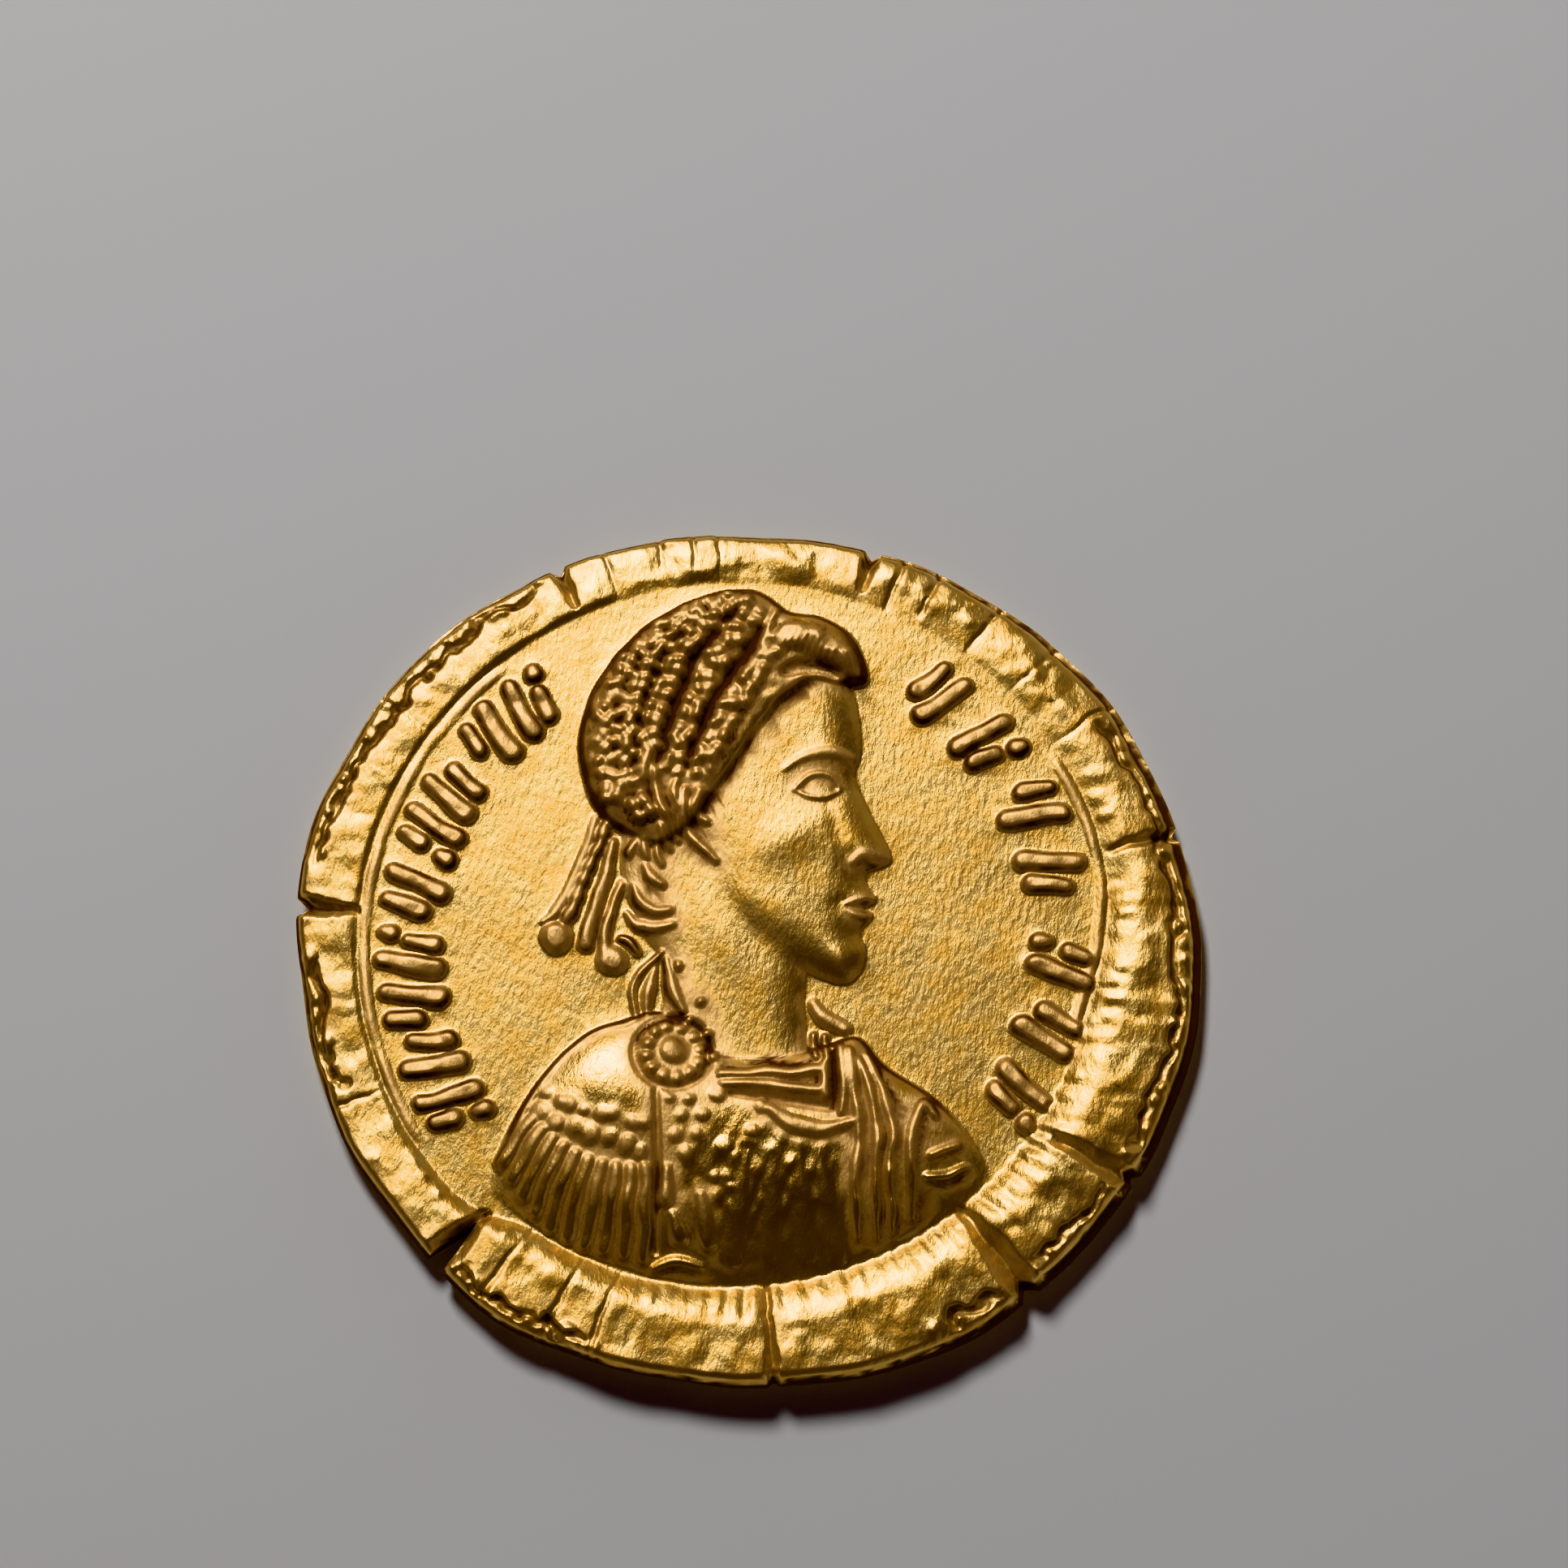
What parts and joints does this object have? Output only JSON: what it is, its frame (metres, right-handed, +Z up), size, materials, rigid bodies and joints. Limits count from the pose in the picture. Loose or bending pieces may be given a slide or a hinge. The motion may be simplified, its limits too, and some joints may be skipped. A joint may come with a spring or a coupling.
{
  "type": "late roman gold solidus coin",
  "caption": "Struck late Roman gold coin lying flat: draped bust with pearled hair in profile inside a raised, cracked rim; wreath and star on the reverse.",
  "frame": {"origin": "centre of the coin's bounding box in plan, on the plane that its reverse rim rests on", "axes": "+Z up out of the portrait side; +Y towards the top of the portrait; +X the way the portrait looks"},
  "size_m": [0.0212, 0.0206, 0.0015],
  "materials": {
    "gold": "struck high-carat gold, softly polished, finely grained in the fields"
  },
  "bodies": {
    "root": {"solidus": "gold"}
  },
  "joints": []
}
